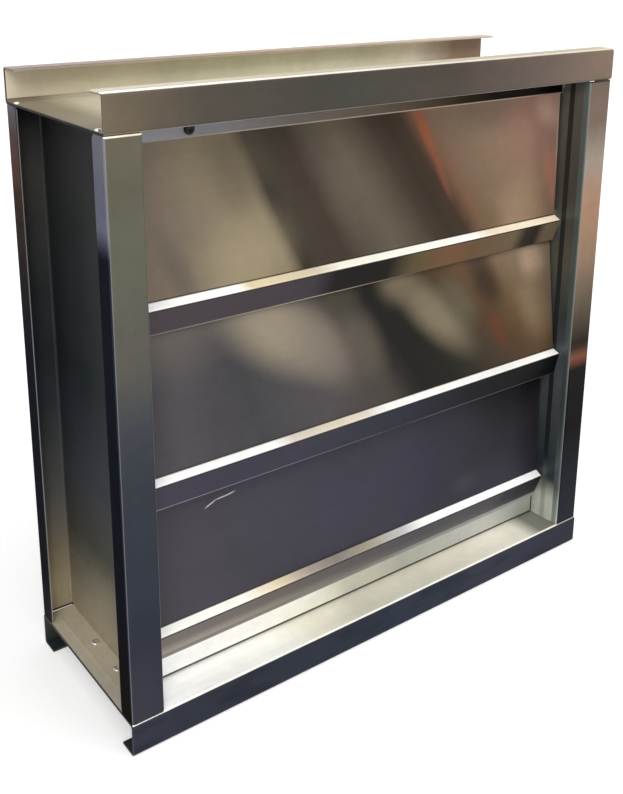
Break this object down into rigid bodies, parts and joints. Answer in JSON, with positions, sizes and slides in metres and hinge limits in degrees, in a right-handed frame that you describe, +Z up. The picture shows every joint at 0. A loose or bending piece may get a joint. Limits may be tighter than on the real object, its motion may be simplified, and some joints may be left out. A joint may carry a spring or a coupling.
{
  "type": "pressure relief grille",
  "caption": "Square galvanised pressure relief grille: a deep frame of lipped channels around horizontal gravity blades that swing open on pivot rods.",
  "frame": {"origin": "middle of the footprint, on the floor under the grille", "axes": "+Z up; the front flanges face -Y and the blades open towards -Y; +X runs across the airway"},
  "size_m": [0.45, 0.15, 0.45],
  "materials": {
    "frame_steel": "galvanised, satin",
    "blade_steel": "galvanised, semi-gloss",
    "rod_steel": "zinc plated",
    "bush_nylon": "natural nylon",
    "clip_steel": "oiled spring steel",
    "rivet_aluminium": "plain",
    "weld_steel": "weld metal under zinc paint",
    "buffer_rubber": "semi-gloss"
  },
  "bodies": {
    "frame": {"top_channel": "frame_steel", "bottom_channel": "frame_steel", "left_channel": "frame_steel", "right_channel": "frame_steel", "sill_stop": "frame_steel", "header_stop": "frame_steel", "lower_left_bush": "bush_nylon", "lower_right_bush": "bush_nylon", "middle_left_bush": "bush_nylon", "middle_right_bush": "bush_nylon", "upper_left_bush": "bush_nylon", "upper_right_bush": "bush_nylon", "sill_rivets": "rivet_aluminium", "header_rivets": "rivet_aluminium", "foot_rivets": "rivet_aluminium", "corner_beads": "weld_steel", "header_buffer": "buffer_rubber"},
    "lower_swing": {"lower_blade": "blade_steel", "lower_rod": "rod_steel", "lower_clips": "clip_steel"},
    "middle_swing": {"middle_blade": "blade_steel", "middle_rod": "rod_steel", "middle_clips": "clip_steel"},
    "upper_swing": {"upper_blade": "blade_steel", "upper_rod": "rod_steel", "upper_clips": "clip_steel"}
  },
  "joints": [
    {"name": "lower_hinge", "type": "hinge", "parent": "frame", "child": "lower_swing", "pos_m": [0, -0.039, 0.16], "axis": [-1, 0, 0], "range_deg": [0, 68.5]},
    {"name": "middle_hinge", "type": "hinge", "parent": "frame", "child": "middle_swing", "pos_m": [0, -0.039, 0.28], "axis": [-1, 0, 0], "range_deg": [-6, 62.5]},
    {"name": "upper_hinge", "type": "hinge", "parent": "frame", "child": "upper_swing", "pos_m": [0, -0.039, 0.4], "axis": [-1, 0, 0], "range_deg": [0, 68.5]}
  ]
}
